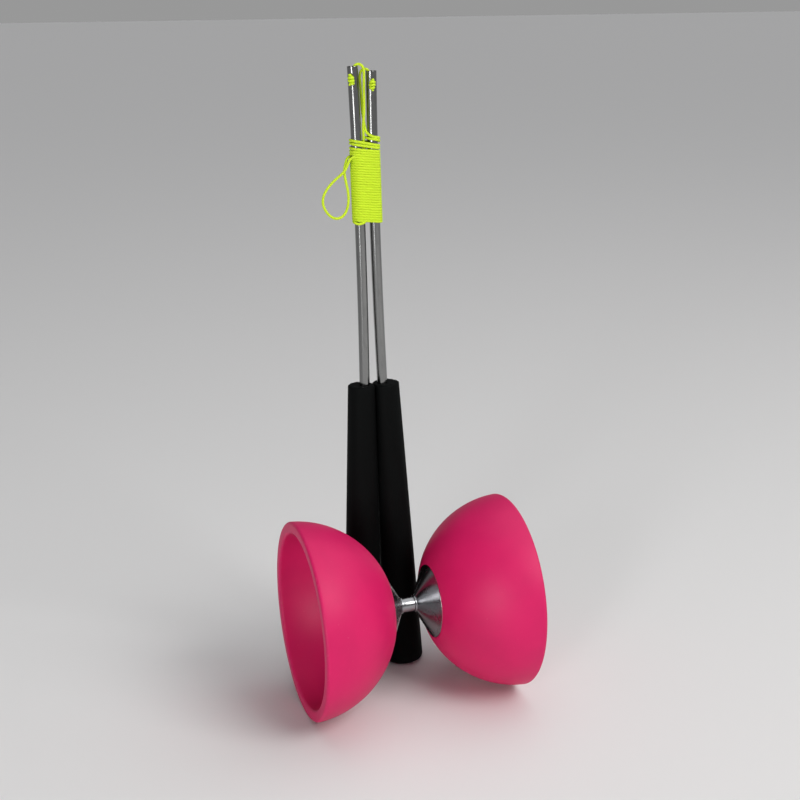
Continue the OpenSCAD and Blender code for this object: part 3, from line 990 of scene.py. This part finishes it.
def wrap_round_tube(string, sticks):
    """One and a half turns round the right tube alone: a circle that touches the tube, its
    height read off by angle."""
    radius = winding_radius(string, sticks)
    degrees = np.arange(WRAP_ANGLES[0], WRAP_ANGLES[-1] + 1, 10.0)
    z = np.interp(degrees, WRAP_ANGLES, WRAP_HEIGHTS) * MM - sticks.pair_z
    a = np.radians(degrees)
    x = string.wind_offset + 0.00015 + radius * np.cos(a)
    return pair_to_row(np.stack([x, radius * np.sin(a), z], -1), sticks)


def string_route(string, sticks):
    """The whole string, from the hole near the left tip to the one near the right tip."""
    def placed(points):
        return np.array(points, float) * MM + (0, sticks.pair_y, 0)

    last = len(TOP_TURNS) - 1 + EVEN_TURNS
    upper = wound_turns(0.46, LOOP_TURN - 0.29, string, sticks)
    lower = wound_turns(LOOP_TURN - 0.16, last + 0.70, string, sticks)
    down = np.concatenate([
        placed(RIGHT_LEAD), wrap_round_tube(string, sticks), upper, placed(SLACK_LOOP),
        lower, placed(BOTTOM), placed(LEFT_LEAD[::-1])])
    return down[::-1]


class AddString(bpy.types.Operator):
    """Adds the string in one length, with a knot at each end"""

    bl_idname = "diabolo.add_string"
    bl_label = "String"

    def execute(self, context):
        string, sticks = context.scene.diabolo_string, context.scene.diabolo_sticks
        braid = braided_string(context.scene.diabolo_colours.string)
        step = 0.00034
        line = smoothed(string_route(string, sticks), step, 0.0007)
        step = np.linalg.norm(line[1] - line[0])
        points = string_surface(line, string.thickness, 16)
        made = mesh_of("wound_string", points, False, uv_step=step / string.thickness)
        finished(made, braid, "hand_sticks", "string", "string_winding", "string_left_lead",
                 "string_right_lead", "string_loop")
        knots = [add_knot(name, side, braid, string, sticks) for name, side in SIDES.items()]
        return {"FINISHED"}


def add_knot(name, side, braid, string, sticks):
    """A barrel knot: the string comes out of the hole, climbs to the knot's top, and is
    wrapped round itself down to a short cut end. The wraps bulge in the middle."""
    middle, out, across, up = knot_frame(side, sticks)
    thick = string.thickness * 0.93
    half, wraps, bulge = 0.0022, 3.2, 0.00125
    turn = np.linspace(0, TURN * wraps, 90) + (0.4 if side < 0 else 1.9)
    drop = np.linspace(half, -half, 90) + 0.0004 * np.sin(turn)
    wide = bulge * np.sqrt(1 - (np.linspace(1, -1, 90) / 1.16) ** 2)
    stand = sticks.tube_d / 2 + thick / 2 + bulge * 0.75
    local = np.stack([stand + wide * np.cos(turn) * 0.82, wide * np.sin(turn), drop], -1)
    lead_in = [[0.0004, 0, 0], [0.0022, 0, 0.0001], [stand - 0.0003, 0, 0.0008],
               [stand - 0.0001, 0.0002, 0.0022]]
    tail = [local[-1] + (0.0004, 0.0002, -0.0005), local[-1] + (0.0007, 0.0001, -0.0011)]
    route = np.concatenate([lead_in, local, tail])
    placed = middle + route @ np.stack([out, across, up])
    line = smoothed(placed, 0.0002, 0.0003)
    points = string_surface(line, thick, 16)
    step = np.linalg.norm(line[1] - line[0])
    made = mesh_of(f"{name}_barrel_knot", points, False, uv_step=step / string.thickness)
    return finished(made, braid, "hand_sticks", "string", f"{name}_knot")


# ---- stage ----

def add_lamp(name, kind, at, aim, power, tint, **settings):
    """Adds a lamp that points from one place at another."""
    light = bpy.data.lights.new(name, kind)
    light.energy, light.color = power, tint
    for setting, value in settings.items():
        setattr(light, setting, value)
    lamp = bpy.data.objects.new(name, light)
    facing = (Vector(at) - Vector(aim)).to_track_quat("Z", "Y").to_matrix().to_4x4()
    lamp.matrix_world = Matrix.Translation(at) @ facing
    lamp.visible_camera = False
    bpy.context.scene.collection.objects.link(lamp)


class AddStage(bpy.types.Operator):
    """Adds the camera, the floor and the lights"""

    bl_idname = "diabolo.add_stage"
    bl_label = "Stage"

    def execute(self, context):
        scene = context.scene
        camera = bpy.data.objects.new("camera", bpy.data.cameras.new("camera"))
        camera.data.lens, camera.data.sensor_width = 60.88, 36
        camera.data.shift_x, camera.data.shift_y = -0.0395, 0.0250
        yaw, pitch, roll = (math.radians(a) for a in (19.606, 17.234, -0.6225))
        turned = (Matrix.Rotation(-yaw, 4, "Z") @ Matrix.Rotation(TURN / 4 - pitch, 4, "X")
                  @ Matrix.Rotation(roll, 4, "Z"))
        camera.matrix_world = Matrix.Translation((-0.20963, -0.63055, 0.36210)) @ turned
        scene.collection.objects.link(camera)
        scene.camera = camera

        far = 30.0
        mesh = bpy.data.meshes.new("floor")
        corners = [(-far, -far, 0), (far, -far, 0), (far, far, 0), (-far, far, 0)]
        mesh.from_pydata(corners, [], [(0, 1, 2, 3)])
        floor = bpy.data.objects.new("floor", mesh)
        scene.collection.objects.link(floor)
        mesh.materials.append(pale_floor(scene.diabolo_colours.floor))

        add_lamp("key", "AREA", (0.75, -1.15, 1.25), (0, 0, 0.10), 17.5, (1.0, 0.98, 0.96),
                 shape="SQUARE", size=0.9)
        add_lamp("strip", "AREA", (-1.0, -1.2, 0.40), (0, 0.04, 0.20), 1.6, (1, 1, 1),
                 shape="RECTANGLE", size=0.26, size_y=0.8, spread=math.radians(70))
        add_lamp("overhead", "SUN", (0.6, 0.1, 1.6), (0, 0, 0), 1.3, (1, 1, 1),
                 angle=math.radians(75))
        world = bpy.data.worlds.new("studio")
        world.use_nodes = True
        sky = Nodes(world.node_tree)
        _, _, height = sky.parts(sky.node("ShaderNodeTexCoord", output="Generated"))
        horizon, zenith = (0.315, 0.315, 0.315), (0.07, 0.07, 0.075)
        shade = sky.node(
            "ShaderNodeValToRGB", {"stops": [(0, horizon), (0.5, zenith)]}, {"Fac": height})
        sky.feed(sky.tree.nodes["Background"].inputs["Color"], shade)
        scene.world = world
        scene.view_settings.view_transform = "Standard"
        return {"FINISHED"}


class DiaboloPanel(bpy.types.Panel):
    """Lists the pieces of the diabolo"""

    bl_idname = "VIEW3D_PT_diabolo"
    bl_label = "Diabolo"
    bl_space_type = "VIEW_3D"
    bl_region_type = "UI"
    bl_category = "Diabolo"

    def draw(self, context):
        for operator in OPERATORS:
            self.layout.operator(operator.bl_idname)
        for group in GROUPS:
            settings = getattr(context.scene, group)
            for name in settings.bl_rna.properties.keys():
                if name not in {"rna_type", "name"}:
                    self.layout.prop(settings, name)


OPERATORS = (AddStage, AddString, AddCups, AddCones, AddAxle, AddTubes, AddGrips)
GROUPS = {
    "diabolo_spool": SpoolSizes,
    "diabolo_sticks": StickSizes,
    "diabolo_string": StringSizes,
    "diabolo_colours": Colours,
}


def register():
    """Registers the properties, the operators and the panel."""
    for group, kind in GROUPS.items():
        bpy.utils.register_class(kind)
        setattr(bpy.types.Scene, group, PointerProperty(type=kind))
    for kind in (*OPERATORS, DiaboloPanel):
        bpy.utils.register_class(kind)


def unregister():
    """Removes what register added."""
    for kind in (DiaboloPanel, *reversed(OPERATORS)):
        bpy.utils.unregister_class(kind)
    for group, kind in reversed(GROUPS.items()):
        delattr(bpy.types.Scene, group)
        bpy.utils.unregister_class(kind)


def main():
    register()
    bpy.ops.diabolo.add_stage()
    bpy.ops.diabolo.add_string()
    bpy.ops.diabolo.add_cups()
    bpy.ops.diabolo.add_cones()
    bpy.ops.diabolo.add_axle()
    bpy.ops.diabolo.add_tubes()
    bpy.ops.diabolo.add_grips()


if __name__ == "__main__":
    main()
